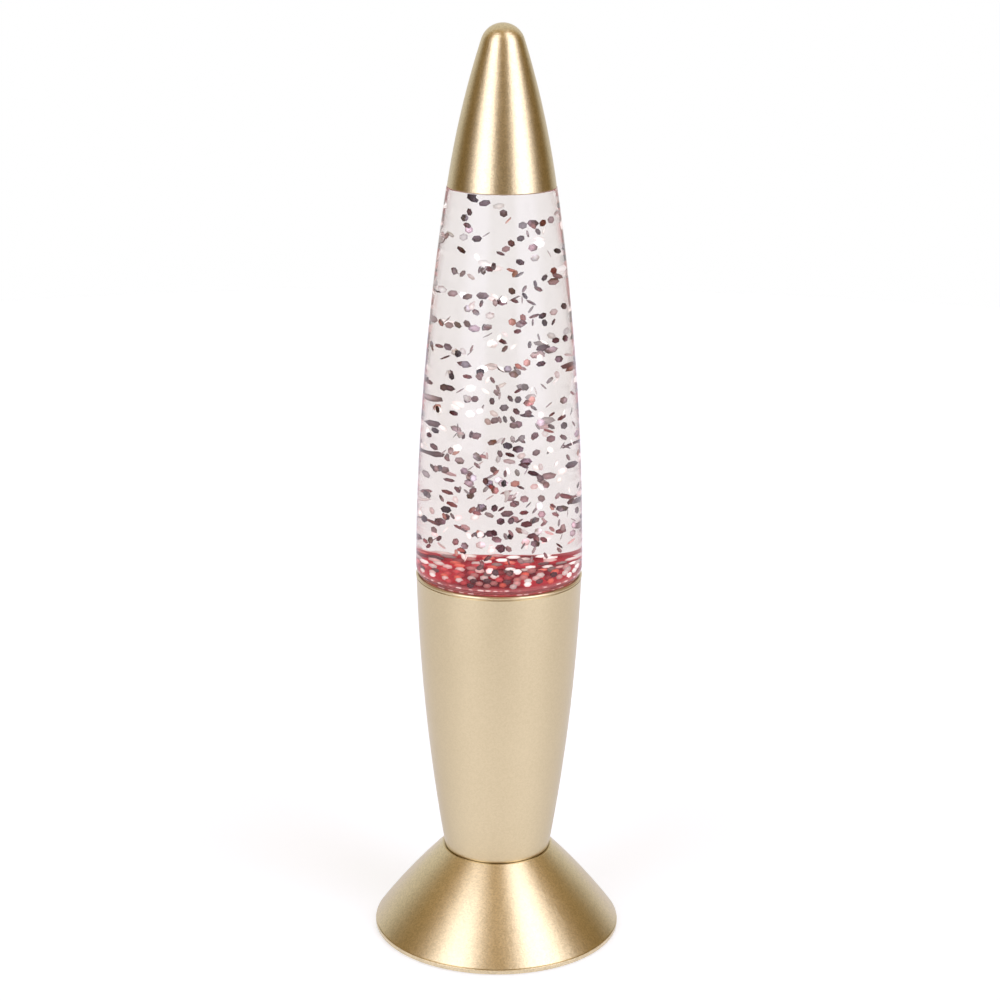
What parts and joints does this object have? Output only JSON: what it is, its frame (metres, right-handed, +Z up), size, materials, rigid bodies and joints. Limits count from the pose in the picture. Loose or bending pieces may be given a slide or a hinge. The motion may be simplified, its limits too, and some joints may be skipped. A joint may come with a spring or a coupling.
{
  "type": "glitter lamp",
  "caption": "Slender glitter lamp: a clear tapered bottle of liquid and glitter with a pointed gold cap stands in a gold holder on a flared foot, lit from below.",
  "frame": {"origin": "on the table, on the lamp's axis, level with the underside of the rubber feet", "axes": "+Z up along the lamp's axis; the picture looks along +Y, with +X to its right"},
  "size_m": [0.1072, 0.1072, 0.395],
  "materials": {
    "gold_paint": "satin gold metallic lacquer",
    "clear_bottle": "clear polished acrylic",
    "clear_liquid": "clear liquid",
    "silver_flake": "metallised film",
    "rose_flake": "metallised film",
    "red_flake": "metallised film",
    "red_plug": "red translucent acrylic, lit from below",
    "red_silicone": "translucent silicone",
    "black_rubber": "matt",
    "soft_foam": "closed-cell foam",
    "white_plastic": "moulded",
    "black_plastic": "fine moulded grain",
    "bright_reflector": "bright metallised",
    "white_board": "white solder mask",
    "green_board": "green solder mask",
    "led_red": "clear tinted dome, lit",
    "led_green": "clear tinted dome",
    "led_blue": "clear tinted dome",
    "screw_steel": "zinc plated",
    "contact_nickel": "nickel plated",
    "terminal_brass": "tinned brass",
    "cell_jacket": "plain shrink jacket",
    "red_sleeve": "soft lead sleeve",
    "black_sleeve": "soft lead sleeve"
  },
  "bodies": {
    "base": {"holder": "gold_paint", "foot": "gold_paint", "light_tray": "white_plastic", "seat_ring": "soft_foam", "reflector": "bright_reflector", "led_board": "white_board", "led_red": "led_red", "led_green": "led_green", "led_blue": "led_blue", "board_screws": "screw_steel", "tray_screws": "screw_steel", "holder_screws": "screw_steel", "base_plate": "black_plastic", "base_screws": "screw_steel", "rubber_feet": "black_rubber", "cell_1": "cell_jacket", "cell_2": "cell_jacket", "cell_3": "cell_jacket", "contact_springs": "contact_nickel", "contact_plates": "contact_nickel", "control_board": "green_board", "control_chip": "black_plastic", "switch_housing": "contact_nickel", "switch_terminals": "terminal_brass", "lead_led_red": "red_sleeve", "lead_led_black": "black_sleeve", "lead_battery_red": "red_sleeve", "lead_switch_red": "red_sleeve", "lead_battery_black": "black_sleeve"},
    "filled_bottle": {"bottle": "clear_bottle", "liquid": "clear_liquid", "glitter_silver": "silver_flake", "glitter_rose": "rose_flake", "glitter_red": "red_flake", "bottle_plug": "red_plug", "plug_seal": "red_silicone", "neck_closure": "white_plastic", "closure_liner": "soft_foam"},
    "top_cap": {"cap": "gold_paint"},
    "door": {"battery_door": "black_plastic", "door_screw": "screw_steel"},
    "switch": {"switch_knob": "black_plastic"}
  },
  "joints": [
    {"name": "bottle_lift", "type": "slide", "parent": "base", "child": "filled_bottle", "axis": [0, 0, 1], "range_m": [0, 0.05]},
    {"name": "cap_lift", "type": "slide", "parent": "filled_bottle", "child": "top_cap", "axis": [0, 0, 1], "range_m": [0, 0.05]},
    {"name": "switch_slide", "type": "slide", "parent": "base", "child": "switch", "axis": [1, 0, 0], "range_m": [0, 0.004]},
    {"name": "door_off", "type": "slide", "parent": "base", "child": "door", "axis": [0, 0, -1], "range_m": [0, 0.03]}
  ]
}
